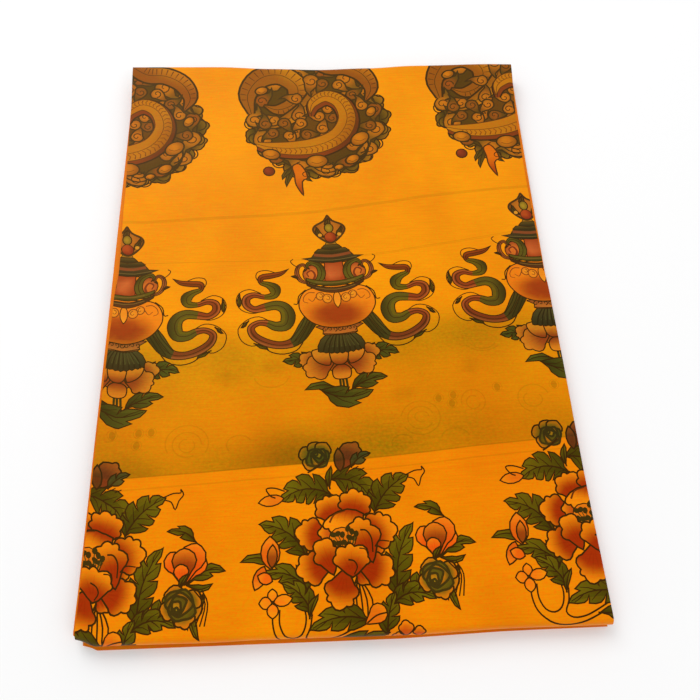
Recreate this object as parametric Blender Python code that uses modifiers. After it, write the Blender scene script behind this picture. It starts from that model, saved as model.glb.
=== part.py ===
"""Khata scarf, folded flat: one strip of cloth doubled end to end, then folded in three.

The strip lies in six layers. Its section, seen from the side, is one back-and-forth line:
it starts at a free end under the stack, runs up through every fold and comes back to the
other free end. +Z is up, +Y is the far side, and +X is the right side. The origin is the
middle of the footprint, on the surface that the stack rests on. Lengths are in metres.
"""

from math import cos, pi, sin

import bmesh
import bpy

MM = 0.001

# The cut cloth and how it is stacked
WIDTH = 215 * MM
SHEET = 1.0 * MM
GAP = 0.45 * MM
LAYERS = 6
NEAR_FOLD_RADIUS = 1.3 * MM
FAR_FOLD_RADIUS = 1.65 * MM
TOP_FOLD_RADIUS = 1.8 * MM
FOLD_SPREAD = 62 * MM
PITCH = SHEET + GAP

# Moves the middle of the footprint over the origin: across, then along
CENTRING = (0.8 * MM, 0.185 * MM)

# How finely the flat strip is divided before it is folded
COLUMNS = 16
PASS_STEPS = 11
FOLD_STEPS = 7

# Height of the two soft waves that run over the stack
SWELL = 0.35 * MM

# The near and the far edge of the top layer. Columns: x, y
NEAR_EDGE = [
    (-107.5 * MM, -151.2 * MM),
    (-99.0 * MM, -153.9 * MM),
    (-52.0 * MM, -154.4 * MM),
    (-38.0 * MM, -154.1 * MM),
    (28.0 * MM, -154.6 * MM),
    (66.0 * MM, -153.8 * MM),
    (107.5 * MM, -154.0 * MM),
]
FAR_EDGE = [
    (-107.5 * MM, 153.4 * MM),
    (-60.0 * MM, 153.4 * MM),
    (-30.0 * MM, 151.8 * MM),
    (-4.0 * MM, 151.0 * MM),
    (24.0 * MM, 152.2 * MM),
    (52.0 * MM, 154.2 * MM),
    (95.0 * MM, 155.4 * MM),
    (107.5 * MM, 155.2 * MM),
]

# The top layer's side edges. Columns: y, shift of both edges to the right, spread of each
TOP_SIDES = [
    (-155 * MM, 0.6 * MM, 0.8 * MM),
    (-57 * MM, 0.0 * MM, 0.7 * MM),
    (2 * MM, -0.1 * MM, 0.4 * MM),
    (17 * MM, 0.0 * MM, -0.4 * MM),
    (64 * MM, -1.0 * MM, 0.0 * MM),
    (110 * MM, -1.7 * MM, 1.1 * MM),
    (155 * MM, -1.4 * MM, 2.6 * MM),
]

# Where the cloth turns, in order from one free end to the other. Columns: side, its layer
# before and after, how far it stands out past the top layer's edge, how much more at the
# left end, shift of the side edges to the right, their spread
TURNS = [
    ("near", None, 1, 0.2 * MM, 1.5 * MM, 1.2 * MM, 0.2 * MM),
    ("far", 1, 4, -1.6 * MM, -0.8 * MM, 2.0 * MM, 0.4 * MM),
    ("near", 4, 5, 0.0 * MM, 0.0 * MM, -1.0 * MM, 0.2 * MM),
    ("far", 5, 6, 0.0 * MM, 0.0 * MM, -1.4 * MM, 2.6 * MM),
    ("near", 6, 3, 0.0 * MM, 0.0 * MM, 0.6 * MM, 0.8 * MM),
    ("far", 3, 2, -1.6 * MM, -0.8 * MM, -2.4 * MM, 0.4 * MM),
    ("near", 2, None, -9.0 * MM, 2.0 * MM, -0.8 * MM, 0.2 * MM),
]

SATIN = {"colour": (0.86, 0.27, 0.01, 1.0), "roughness": 0.45}


def smooth(t):
    """Eases from 0 to 1 as t goes from 0 to 1."""
    t = min(max(t, 0.0), 1.0)
    return t * t * (3 - 2 * t)


def read_rows(rows, at):
    """The other columns of a table, eased between its rows at a value of the first column."""
    for low, high in zip(rows, rows[1:]):
        if at <= high[0]:
            break
    share = smooth((at - low[0]) / (high[0] - low[0]))
    return [a + (b - a) * share for a, b in zip(low[1:], high[1:])]


def opening(radius):
    """The clear gap inside a fold of this radius, measured at the middle of the sheet."""
    return 2 * radius - SHEET


# The clear gap over each layer, from the bottom up. Columns: at the near end, at the far end
GAPS = [
    (GAP, GAP),
    (GAP, opening(FAR_FOLD_RADIUS)),
    (GAP, GAP),
    (opening(NEAR_FOLD_RADIUS), GAP),
    (GAP, opening(TOP_FOLD_RADIUS)),
]


def swell(x, y):
    """Height of the soft waves over the top of the stack."""
    along = sin(2 * pi * (y / 0.150 + 0.12) + x / 0.060)
    across = sin(2 * pi * (x / 0.190 - 0.20) - y / 0.110)
    return SWELL * (0.6 * along + 0.4 * across)


def layer_height(layer, x, y):
    """Height of the middle of a layer's sheet. Gaps open towards the folds they end in."""
    near_y = read_rows(NEAR_EDGE, x)[0]
    far_y = read_rows(FAR_EDGE, x)[0]
    near_share = max(0.0, 1 - (y - near_y) / FOLD_SPREAD) ** 2
    far_share = max(0.0, 1 - (far_y - y) / FOLD_SPREAD) ** 2
    height = SHEET / 2
    for near_gap, far_gap in GAPS[: layer - 1]:
        open_by = (near_gap - GAP) * min(near_share, 1) + (far_gap - GAP) * min(far_share, 1)
        height += PITCH + open_by
    middle = (1 - near_share) * (1 - far_share)
    return height + swell(x, y) * middle * (layer - 1) / (LAYERS - 1)


def fold_reach(turn):
    """How far the middle of the sheet stands out past the ends of the two layers it joins."""
    low, high = sorted(turn[1:3])
    radius = {"near": NEAR_FOLD_RADIUS, "far": FAR_FOLD_RADIUS}[turn[0]]
    if (low, high) == (5, 6):
        return TOP_FOLD_RADIUS
    return radius + PITCH * ((high - low - 1) // 2)


def turn_line(turn, x):
    """The y where a layer ends: its fold starts there, or it is the cloth's free end."""
    side, before, after, stand_out, more_left = turn[:5]
    edge = read_rows(NEAR_EDGE if side == "near" else FAR_EDGE, x)[0]
    outward = -1 if side == "near" else 1
    left_share = 0.5 - x / WIDTH
    edge += outward * (stand_out + more_left * left_share)
    if before is None or after is None:
        return edge
    deepest = {"near": NEAR_FOLD_RADIUS, "far": FAR_FOLD_RADIUS}[side] + PITCH
    if {before, after} == {5, 6}:
        deepest = TOP_FOLD_RADIUS
    return edge - outward * (deepest + SHEET / 2)


def side_place(u, y, layer, start, end, share):
    """The x of a point of the strip, given its place u across the cloth."""
    if layer == LAYERS:
        shift, spread = read_rows(TOP_SIDES, y)
    else:
        shift = start[5] + (end[5] - start[5]) * share
        spread = start[6] + (end[6] - start[6]) * share
    return u + shift + spread * 2 * u / WIDTH


def pass_point(u, start, end, share):
    """A point of the layer that runs from one turn to the next."""
    layer = start[2]
    y = turn_line(start, u) + (turn_line(end, u) - turn_line(start, u)) * share
    x = side_place(u, y, layer, start, end, share)
    return x, y, layer_height(layer, u, y)


def fold_point(u, turn, share):
    """A point of the half round that joins the ends of two layers."""
    y = turn_line(turn, u)
    from_z = layer_height(turn[1], u, y)
    to_z = layer_height(turn[2], u, y)
    outward = -1 if turn[0] == "near" else 1
    angle = pi * share
    x = u + turn[5] + turn[6] * 2 * u / WIDTH
    z = (from_z + to_z) / 2 + (from_z - to_z) / 2 * cos(angle)
    return x, y + outward * fold_reach(turn) * sin(angle), z


def strip_stations():
    """The steps along the strip: (function, what it needs, share), from end to end."""
    stations = []
    for start, end in zip(TURNS, TURNS[1:]):
        for step in range(PASS_STEPS + 1):
            # Steps are closer together near the folds, where the layers curve
            share = 0.5 - 0.5 * cos(pi * step / PASS_STEPS)
            stations.append((pass_point, (start, end), share))
        if end[2] is not None:
            for step in range(1, FOLD_STEPS):
                stations.append((fold_point, (end,), step / FOLD_STEPS))
    return stations


def fold_strip(mesh, stations):
    """Moves a flat unit grid's points to where the folded cloth has them."""
    last = len(stations) - 1
    for vertex in mesh.vertices:
        column = round((vertex.co.x + 0.5) * COLUMNS)
        row = round((vertex.co.y + 0.5) * last)
        u = WIDTH * (column / COLUMNS - 0.5)
        place, needs, share = stations[row]
        x, y, z = place(u, *needs, share)
        vertex.co = x + CENTRING[0], y + CENTRING[1], z


def face_up(mesh):
    """Turns the faces so that the printed side of the top layer faces up."""
    work = bmesh.new()
    work.from_mesh(mesh)
    top = max(work.faces, key=lambda face: face.calc_center_median().z)
    if top.normal.z < 0:
        bmesh.ops.reverse_faces(work, faces=work.faces)
    work.to_mesh(mesh)
    work.free()


def satin_material():
    """Orange satin."""
    material = bpy.data.materials.new("satin")
    material.use_nodes = True
    shader = material.node_tree.nodes["Principled BSDF"]
    shader.inputs["Base Color"].default_value = SATIN["colour"]
    shader.inputs["Roughness"].default_value = SATIN["roughness"]
    shader.inputs["Metallic"].default_value = 0.0
    return material


def make_scarf(collection):
    """The whole scarf: a flat grid, folded and given its thickness."""
    stations = strip_stations()
    bpy.ops.mesh.primitive_grid_add(
        x_subdivisions=COLUMNS, y_subdivisions=len(stations) - 1, size=1
    )
    scarf = bpy.context.object
    scarf.name = scarf.data.name = "khata"
    for other in scarf.users_collection:
        other.objects.unlink(scarf)
    collection.objects.link(scarf)
    fold_strip(scarf.data, stations)
    face_up(scarf.data)
    thicken = scarf.modifiers.new("cloth thickness", "SOLIDIFY")
    thicken.thickness = SHEET
    thicken.offset = 0
    thicken.use_even_offset = True
    scarf.data.materials.append(satin_material())
    scarf.data.shade_smooth()
    return scarf


def main():
    for thing in list(bpy.data.objects):
        bpy.data.objects.remove(thing)
    collection = bpy.data.collections.new("khata scarf")
    bpy.context.scene.collection.children.link(collection)
    make_scarf(collection)


main()
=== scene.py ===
"""Looks of the folded khata scarf: its printed satin, a pale floor, soft light and a camera.

The cloth is drawn flat and then folded. A place on the flat strip is (u, t): u runs across
it, and t runs along it, with t = 0 in the middle of the top layer, growing towards the far
side. The print is drawn in millimetres as filled outlines, later ones over earlier ones.
"""

from collections import namedtuple
from math import cos, hypot, pi, radians, sin

import bpy
import numpy as np
from mathutils import Matrix, Vector
from mathutils.geometry import delaunay_2d_cdt


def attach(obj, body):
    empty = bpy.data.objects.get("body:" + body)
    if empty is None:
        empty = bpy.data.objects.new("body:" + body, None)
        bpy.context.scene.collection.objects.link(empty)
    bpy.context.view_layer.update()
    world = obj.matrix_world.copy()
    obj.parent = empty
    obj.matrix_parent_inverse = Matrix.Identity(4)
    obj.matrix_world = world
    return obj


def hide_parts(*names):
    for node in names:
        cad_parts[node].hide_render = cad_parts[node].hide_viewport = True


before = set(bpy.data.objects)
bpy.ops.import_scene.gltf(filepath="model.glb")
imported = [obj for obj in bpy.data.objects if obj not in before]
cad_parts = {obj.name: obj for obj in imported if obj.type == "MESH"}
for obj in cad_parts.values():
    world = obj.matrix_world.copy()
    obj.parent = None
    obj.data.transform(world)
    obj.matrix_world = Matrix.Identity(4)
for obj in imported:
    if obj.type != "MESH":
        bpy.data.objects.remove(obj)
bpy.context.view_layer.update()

MM = 0.001

# The folded strip, as the solid has it, in millimetres

WIDTH = 215.0
SOLID_SHEET = 1.0
GAP = 0.45
PITCH = SOLID_SHEET + GAP
LAYERS = 6
NEAR_FOLD_RADIUS = 1.3
FAR_FOLD_RADIUS = 1.65
TOP_FOLD_RADIUS = 1.8
FOLD_SPREAD = 62.0
SWELL = 0.35
CENTRING = (0.8, 0.185)
CLOTH = 0.5

# The near and the far edge of the top layer. Columns: x, y
NEAR_EDGE = np.array([
    (-107.5, -151.2), (-99.0, -153.9), (-52.0, -154.4), (-38.0, -154.1), (28.0, -154.6),
    (66.0, -153.8), (107.5, -154.0),
])
FAR_EDGE = np.array([
    (-107.5, 153.4), (-60.0, 153.4), (-30.0, 151.8), (-4.0, 151.0), (24.0, 152.2),
    (52.0, 154.2), (95.0, 155.4), (107.5, 155.2),
])

# The top layer's side edges. Columns: y, shift of both edges to the right, spread of each
TOP_SIDES = np.array([
    (-155, 0.6, 0.8), (-57, 0.0, 0.7), (2, -0.1, 0.4), (17, 0.0, -0.4), (64, -1.0, 0.0),
    (110, -1.7, 1.1), (155, -1.4, 2.6),
])

# Where the cloth turns, from one free end to the other
Turn = namedtuple("Turn", "side before after stand_out more_left shift spread")
TURNS = [
    Turn("near", None, 2, -9.0, 2.0, -0.8, 0.2),
    Turn("far", 2, 3, -1.6, -0.8, -2.4, 0.4),
    Turn("near", 3, 6, 0.0, 0.0, 0.6, 0.8),
    Turn("far", 6, 5, 0.0, 0.0, -1.4, 2.6),
    Turn("near", 5, 4, 0.0, 0.0, -1.0, 0.2),
    Turn("far", 4, 1, -1.6, -0.8, 2.0, 0.4),
    Turn("near", 1, None, 0.2, 1.5, 1.2, 0.2),
]


def smooth(t):
    """Eases from 0 to 1 as t goes from 0 to 1."""
    t = np.clip(t, 0.0, 1.0)
    return t * t * (3 - 2 * t)


def read_rows(table, at):
    """The other columns of a table, eased between its rows at values of the first column."""
    index = np.clip(np.searchsorted(table[:, 0], at) - 1, 0, len(table) - 2)
    low, high = table[index], table[index + 1]
    share = smooth((at - low[:, 0]) / (high[:, 0] - low[:, 0]))
    return [low[:, k] + (high[:, k] - low[:, k]) * share for k in range(1, table.shape[1])]


def opening(radius):
    """The clear gap inside a fold of this radius, measured at the middle of the sheet."""
    return 2 * radius - SOLID_SHEET


# The clear gap over each layer, from the bottom up. Columns: at the near end, at the far end
GAPS = [
    (GAP, GAP),
    (GAP, opening(FAR_FOLD_RADIUS)),
    (GAP, GAP),
    (opening(NEAR_FOLD_RADIUS), GAP),
    (GAP, opening(TOP_FOLD_RADIUS)),
]


def layer_height(layer, x, y):
    """Height of the middle of a layer's sheet."""
    near_share = np.maximum(0, 1 - (y - read_rows(NEAR_EDGE, x)[0]) / FOLD_SPREAD) ** 2
    far_share = np.maximum(0, 1 - (read_rows(FAR_EDGE, x)[0] - y) / FOLD_SPREAD) ** 2
    height = SOLID_SHEET / 2
    for near_gap, far_gap in GAPS[: layer - 1]:
        height = height + PITCH
        height = height + (near_gap - GAP) * np.minimum(near_share, 1)
        height = height + (far_gap - GAP) * np.minimum(far_share, 1)
    along = np.sin(2 * pi * (y / 150 + 0.12) + x / 60)
    across = np.sin(2 * pi * (x / 190 - 0.20) - y / 110)
    middle = (1 - near_share) * (1 - far_share) * (layer - 1) / (LAYERS - 1)
    return height + SWELL * (0.6 * along + 0.4 * across) * middle


def fold_reach(turn):
    """How far the sheet stands out past the ends of the two layers that a fold joins."""
    low, high = sorted((turn.before, turn.after))
    if (low, high) == (5, 6):
        return TOP_FOLD_RADIUS
    radius = NEAR_FOLD_RADIUS if turn.side == "near" else FAR_FOLD_RADIUS
    return radius + PITCH * ((high - low - 1) // 2)


def turn_line(turn, x):
    """The y where a layer ends: its fold starts there, or it is the cloth's free end."""
    outward = -1 if turn.side == "near" else 1
    edge = read_rows(NEAR_EDGE if turn.side == "near" else FAR_EDGE, x)[0]
    edge = edge + outward * (turn.stand_out + turn.more_left * (0.5 - x / WIDTH))
    if turn.before is None or turn.after is None:
        return edge
    deepest = NEAR_FOLD_RADIUS if turn.side == "near" else FAR_FOLD_RADIUS
    deepest += PITCH
    if {turn.before, turn.after} == {5, 6}:
        deepest = TOP_FOLD_RADIUS
    return edge - outward * (deepest + SOLID_SHEET / 2)


# The strip's legs, in order: each pass from turn to turn and each fold, with the lengths of
# the flat strip where they start and end
Leg = namedtuple("Leg", "kind start end low high")
PASS_LENGTH = 301.8
# The first pass is shorter than the others, and the last one longer
FIRST_LESS, LAST_MORE = 6.0, 3.5


def strip_legs():
    """Every pass and fold with its stretch of t, where the top layer's middle is at 0."""
    legs, at = [], 0.0
    for start, end in zip(TURNS, TURNS[1:]):
        length = PASS_LENGTH
        if start.before is None:
            length -= FIRST_LESS
        if end.after is None:
            length += LAST_MORE
        legs.append(("pass", start, end, at, at + length))
        at += length
        if end.after is not None:
            length = pi * fold_reach(end)
            legs.append(("fold", end, end, at, at + length))
            at += length
    top = next(leg for leg in legs if leg[0] == "pass" and leg[1].after == LAYERS)
    middle = (top[3] + top[4]) / 2
    return [Leg(*leg[:3], leg[3] - middle, leg[4] - middle) for leg in legs]


LEGS = strip_legs()
START, END = LEGS[0].low, LEGS[-1].high


def fold_strip(u, t):
    """Where places of the flat strip lie once it is folded, at the middle of the sheet."""
    out = np.zeros((len(u), 3))
    for leg in LEGS:
        here = (t >= leg.low - 1e-9) & (t <= leg.high + 1e-9)
        a, share = u[here], (t[here] - leg.low) / (leg.high - leg.low)
        if leg.kind == "pass":
            y = turn_line(leg.start, a)
            y = y + (turn_line(leg.end, a) - y) * share
            layer = leg.start.after
            if layer == LAYERS:
                shift, spread = read_rows(TOP_SIDES, y)
            else:
                shift = leg.start.shift + (leg.end.shift - leg.start.shift) * share
                spread = leg.start.spread + (leg.end.spread - leg.start.spread) * share
            z = layer_height(layer, a, y)
        else:
            turn = leg.start
            y = turn_line(turn, a)
            from_z = layer_height(turn.before, a, y)
            to_z = layer_height(turn.after, a, y)
            shift, spread = turn.shift, turn.spread
            z = (from_z + to_z) / 2 + (from_z - to_z) / 2 * np.cos(pi * share)
            outward = -1 if turn.side == "near" else 1
            y = y + outward * fold_reach(turn) * np.sin(pi * share)
        x = a + shift + spread * 2 * a / WIDTH
        out[here] = np.stack([x + CENTRING[0], y + CENTRING[1], z], -1)
    return out


def strip_normals(u, t):
    """Unit normals on the printed side, from small steps along the strip and across it."""
    step = 0.02
    middle = np.clip(t, START + step, END - step)
    across = fold_strip(u + step, t) - fold_strip(u - step, t)
    along = fold_strip(u, middle + step) - fold_strip(u, middle - step)
    normal = np.cross(across, along)
    return normal / np.linalg.norm(normal, axis=1)[:, None]


# Outlines and fills of the print, in millimetres

# A filled outline. Its colour goes from first to second, along the line from start to reach,
# or where round isn't 0, from reach[0] to reach[1] millimetres away from start, on ovals that
# are round times as high as wide. Where tint is true, what lies below is multiplied by it
Fill = namedtuple("Fill", "points first second start reach round tint", defaults=(False,))

INK = (48, 28, 6)
OLIVE = (66, 66, 4)
OLIVE_LIGHT = (108, 104, 8)
RUST = (162, 46, 2)
PETAL = (245, 153, 10)
GREEN = (50, 52, 14)
GREEN_LIGHT = (88, 88, 22)
MAROON = (84, 32, 14)
MAROON_LIGHT = (138, 62, 24)
LINE = 0.75
SHADE = (0.93, 0.84, 0.8)


def rows(text):
    """A table of numbers from its rows."""
    return np.array([[float(n) for n in row.split()] for row in text.split(",")])


def direction(angle):
    """The unit vector at an angle in degrees."""
    return np.array([cos(radians(angle)), sin(radians(angle))])


def through(points, steps=6, closed=False):
    """A smooth curve through the points."""
    points = np.asarray(points, float)
    if closed:
        padded = np.vstack([points[-1], points, points[:2]])
    else:
        first, last = 2 * points[0] - points[1], 2 * points[-1] - points[-2]
        padded = np.vstack([first, points, last])
    out = []
    for a, b, c, d in zip(padded, padded[1:], padded[2:], padded[3:]):
        for k in range(steps):
            s = k / steps
            out.append(
                0.5 * (2 * b + (c - a) * s + (2 * a - 5 * b + 4 * c - d) * s**2
                       + (3 * b - a - 3 * c + d) * s**3)
            )
    if not closed:
        out.append(points[-1])
    return np.array(out)


def anticlockwise(points):
    """The outline, turned round if it runs clockwise."""
    points = np.asarray(points, float)
    x, y = points[:, 0], points[:, 1]
    area = np.sum(x * np.roll(y, -1) - np.roll(x, -1) * y)
    return points if area > 0 else points[::-1]


def sideways(path):
    """The unit vectors to the left of a path at each of its points."""
    along = np.gradient(path, axis=0)
    along /= np.maximum(np.linalg.norm(along, axis=1), 1e-6)[:, None]
    return np.stack([-along[:, 1], along[:, 0]], -1)


def inset(points, width):
    """The outline moved inwards by a width. A sharp corner moves at most twice as far."""
    points = anticlockwise(points)
    turned = []
    for side in (points - np.roll(points, 1, 0), np.roll(points, -1, 0) - points):
        length = np.maximum(np.linalg.norm(side, axis=1), 1e-6)[:, None]
        turned.append(np.stack([-side[:, 1], side[:, 0]], -1) / length)
    middle = turned[0] + turned[1]
    middle /= np.maximum(np.linalg.norm(middle, axis=1), 1e-6)[:, None]
    straight = np.maximum(np.sum(middle * turned[0], axis=1), 0.5)[:, None]
    return points + middle * width / straight


def flat(points, colour, tint=False):
    """A fill of one colour."""
    return Fill(anticlockwise(points), colour, colour, (0, 0), (1, 0), 0.0, tint)


def graded(points, first, second, start, reach, around=False, tint=False):
    """A fill that goes from one colour to another."""
    return Fill(anticlockwise(points), first, second, tuple(start), tuple(reach), float(around), tint)


def outlined(points, first, second, start, reach, around=False, line=LINE, ink=INK):
    """A graded fill with a dark line round it."""
    return [flat(points, ink), graded(inset(points, line), first, second, start, reach, around)]


def stroke(path, width, end_width=None, colour=INK, steps=3, tint=False):
    """A line along a path, which may taper from one width to another."""
    path = through(path, steps) if len(path) > 2 else np.asarray(path, float)
    side = sideways(path)
    half = np.linspace(width, width if end_width is None else end_width, len(path))[:, None] / 2
    return flat(np.vstack([path + side * half, (path - side * half)[::-1]]), colour, tint)


def lines(text, colour=INK):
    """Strokes, split by semicolons. Each has its two end widths in its first row."""
    fills = []
    for line in text.split(";"):
        (width, end_width), *path = rows(line)
        fills.append(stroke(path, width, end_width, colour))
    return fills


def ring(centre, radius, width, colour=INK, squash=1.0, low=0, high=360, tint=False):
    """A line along a circle or a part of one."""
    angle = np.radians(np.linspace(low, high, max(5, int((high - low) / 15))))
    path = np.stack([np.cos(angle) * radius, np.sin(angle) * radius * squash], -1) + centre
    return stroke(path, width, colour=colour, steps=1, tint=tint)


def disc(centre, radius, squash=1.0, turn=0.0, steps=16):
    """The outline of a circle, or of an oval that is turned by an angle."""
    angle = np.linspace(0, 2 * pi, steps, endpoint=False)
    x, y = np.cos(angle) * radius, np.sin(angle) * radius * squash
    turn = radians(turn)
    return np.stack([x * cos(turn) - y * sin(turn), x * sin(turn) + y * cos(turn)], -1) + centre


def curl(centre, radius, turns, width, begin=0.0, colour=INK, way=1):
    """A spiral line that winds in to a point."""
    share = np.linspace(0, 1, int(10 * turns) + 3)
    angle = radians(begin) + way * 2 * pi * turns * share
    size = radius * (1 - 0.85 * share)
    path = np.stack([np.cos(angle) * size, np.sin(angle) * size], -1) + centre
    return stroke(path, width, width * 0.6, colour, 1)


def scallops(cusps, bulge):
    """Round scallops from cusp to cusp, bulging to the right of the way they are listed."""
    outline = []
    for low, high in zip(cusps, cusps[1:]):
        chord = high - low
        out = np.array([chord[1], -chord[0]])
        for share in (0.0, 0.12, 0.35, 0.65, 0.88):
            outline.append(low + chord * share + out * bulge * sin(pi * share) ** 0.75)
    return outline + [cusps[-1]]


def petal(base, tip, width, lobes, first=RUST, second=PETAL, streaks=3, line=LINE, dark=0.38):
    """A petal, dark from its base out: a scalloped fan, or with one lobe a plain pointed oval."""
    base, tip = np.array(base, float), np.array(tip, float)
    length = hypot(*(tip - base))
    way = (tip - base) / length
    side = np.array([-way[1], way[0]])

    def place(along, across):
        return base + np.outer(along, way) * length + np.outer(across, side) * width / 2

    if lobes == 1:
        angle = radians(150) * np.linspace(-1, 1, 11)
        outline = place(0.5 + 0.44 * np.cos(angle) + 0.08 * (abs(angle) < 0.1), np.sin(angle))
        outline = [*outline, base]
    else:
        count = np.arange(lobes + 1)
        uneven = 0.5 / lobes * np.sin(2.4 * count + base[0]) * (count > 0) * (count < lobes)
        angle = radians(122) * (2 * count / lobes - 1 + uneven)
        cusps = place(0.52 + 0.37 * np.cos(angle), 0.86 * np.sin(angle))
        outline = scallops(cusps, 0.36) + [*place([0.10, 0.0, 0.10], [0.3, 0.0, -0.3])]
    start = base + way * length * 0.08
    fills = outlined(outline, first, second, start, (dark * length, 0.86 * length), True, line)
    for k in range(streaks):
        lean = radians(60) * (2 * (k + 0.5) / streaks - 1)
        along, across = 0.50 + 0.36 * cos(lean), 0.80 * sin(lean)
        reach = 0.74 + 0.12 * (k % 2)
        path = place(np.array([0.3, 0.55, reach]) * along, np.array([0.2, 0.5, reach]) * across)
        fills.append(stroke(path, 0.05 * width, 0.2, SHADE, 2, tint=True))
    return fills


def petals(text, *more, **settings):
    """Petals, back to front. Columns: base x, base y, tip x, tip y, width, lobes."""
    fills = []
    for bx, by, tx, ty, width, lobes in rows(text):
        fills += petal((bx, by), (tx, ty), width, int(lobes), *more, **settings)
    return fills


def leaf(base, tip, bow, width, lobes, first=OLIVE, second=OLIVE_LIGHT, ink=INK, line=0.6):
    """A leaf on a bowed rib, with a few rounded lobes on each side that point forward."""
    base, tip = np.array(base, float), np.array(tip, float)
    across = np.array([-(tip - base)[1], (tip - base)[0]])
    knee = (base + tip) / 2 + across / hypot(*across) * bow * 2

    def rib(share):
        share = np.asarray(share, float)
        return (np.outer((1 - share) ** 2, base) + np.outer(2 * share * (1 - share), knee)
                + np.outer(share**2, tip))

    def off_rib(share, reach):
        share, reach = np.asarray(share, float), np.asarray(reach, float)
        ahead = rib(share + 0.02) - rib(share - 0.02)
        ahead /= np.linalg.norm(ahead, axis=1)[:, None]
        body = np.sin(pi * np.clip(share, 0.0, 1.0) ** 0.8) ** 0.75 * width / 2
        return rib(share) + np.stack([-ahead[:, 1], ahead[:, 0]], -1) * (reach * body)[:, None]

    sides, tips = [], []
    for way, offset in ((1, 0.02), (-1, 0.34 / lobes)):
        shares, reaches = [0.0], [0.0]
        for k in range(lobes):
            low = offset + 0.92 * k / lobes
            step = 0.92 / lobes
            if lobes == 1 or k == lobes - 1 and offset > 0.05:
                shares += [low + 0.2 * step, low + 0.5 * step, low + 0.72 * step]
                reaches += [0.62, 0.92, 0.86]
                continue
            shares += [low + part * step for part in (0.04, 0.16, 0.42, 0.80, 1.24, 1.08)]
            reaches += [0.42, 0.78, 1.08, 1.20, 1.16, 0.56]
            tips.append((way, low + 0.2 * step, low + 0.95 * step))
        keep = [n for n, share in enumerate(shares) if share < 0.97]
        sides.append(off_rib([shares[n] for n in keep], [way * reaches[n] for n in keep]))
    fills = outlined(
        np.vstack([sides[0], tip, sides[1][:0:-1]]), first, second, base, tip, line=line, ink=ink
    )
    even = np.linspace(0.04, 0.94, 7)
    dark_side = np.vstack([rib(even), off_rib(even, 0.5 + 0 * even)[::-1]])
    fills.append(flat(dark_side, (0.72, 0.74, 0.7), True))
    fills.append(stroke(rib(np.linspace(0.0, 0.93, 7)), 0.8, 0.35, ink, 1))
    if width > 6:
        for way, low, high in tips:
            vein = off_rib([low, (low + high) / 2, high], [0, way * 0.36, way * 0.8])
            fills.append(stroke(vein, 0.5, 0.25, ink, 1))
    return fills


def leaves(text, *colours):
    """Leaves, back to front. Columns: base x, base y, tip x, tip y, bow, width, lobes."""
    fills = []
    for bx, by, tx, ty, bow, width, lobes in rows(text):
        fills += leaf((bx, by), (tx, ty), bow, width, int(lobes), *colours)
    return fills


def rose(centre, size, lean, lobes):
    """A rose of leaves in thick dark lines. Columns of the lobes: angle, reach, scallops."""
    centre = np.array(centre, float)
    fills = []
    for angle, reach, count in rows(lobes):
        out = direction(angle) * size
        fills += petal(centre + out * 0.2, centre + out * reach, size * 1.25, int(count),
                       (118, 100, 14), (222, 134, 12), 0)
    shades = ((112, 102, 16), (206, 130, 14), (96, 90, 18), (184, 134, 18), (150, 132, 22))
    for k, colour in enumerate(shades):
        share = 0.84 - 0.165 * k
        shift = direction(lean + 25 * k) * size * 0.07 * k
        middle = centre + shift
        spot = disc(middle, size * share, 0.84, lean + 50 * k, 12)
        wavy = 1 + 0.10 * np.sin(np.arange(12) * 2.1 + 1.7 * k)[:, None]
        spot = middle + (spot - centre - shift) * wavy
        fills += outlined(through(spot, 2, True), colour, (82, 78, 14), middle,
                          (size * share * 0.3, size * share), True, 1.0, (56, 50, 14))
    return fills


def band(path, halves, parts, line=0.5, ink=INK, steps=4):
    """A ribbon along a path. Parts: first point, last point, colour, edge colour, light edge."""
    path, halves = through(path, steps), through([(h, 0) for h in halves], steps)[:, :1]
    side = sideways(path)
    fills = []

    def strip(cut, low, high):
        return np.vstack([path[cut] + side[cut] * high, (path[cut] + side[cut] * low)[::-1]])

    for low, high, first, second, light in parts:
        cut = slice(low * steps, high * steps + 1)
        half = halves[cut]
        thin = np.maximum(half - line, 0.05)
        middle = len(half) // 2
        across = [(path[cut] + side[cut] * thin * way)[middle] for way in (1, -1)]
        fills.append(flat(strip(cut, -half, half), ink))
        fills.append(graded(strip(cut, -thin, thin), first, second, *across))
        if light:
            fills.append(flat(strip(cut, thin * 0.45, thin * 0.95), light))
        fills.append(stroke(path[cut], 0.35, steps=1, colour=ink))
    return fills


def moved(fills, by, turn=0.0, mirror=False, squeeze=1.0):
    """The fills, mirrored left to right, squeezed in height, turned and shifted."""
    turn = radians(turn)
    spin = np.array([[cos(turn), sin(turn)], [-sin(turn), cos(turn)]])
    flip = np.array([[-1.0 if mirror else 1.0, 0], [0, squeeze]])

    def place(points):
        return np.atleast_2d(points) @ flip @ spin + by

    out = []
    for f in fills:
        reach = f.reach if f.round else tuple(place(f.reach)[0])
        points = anticlockwise(place(f.points))
        start = tuple(place(f.start)[0])
        out.append(f._replace(points=points, start=start, reach=reach, round=f.round * squeeze))
    return out


# The three motifs, each about its own middle


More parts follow.
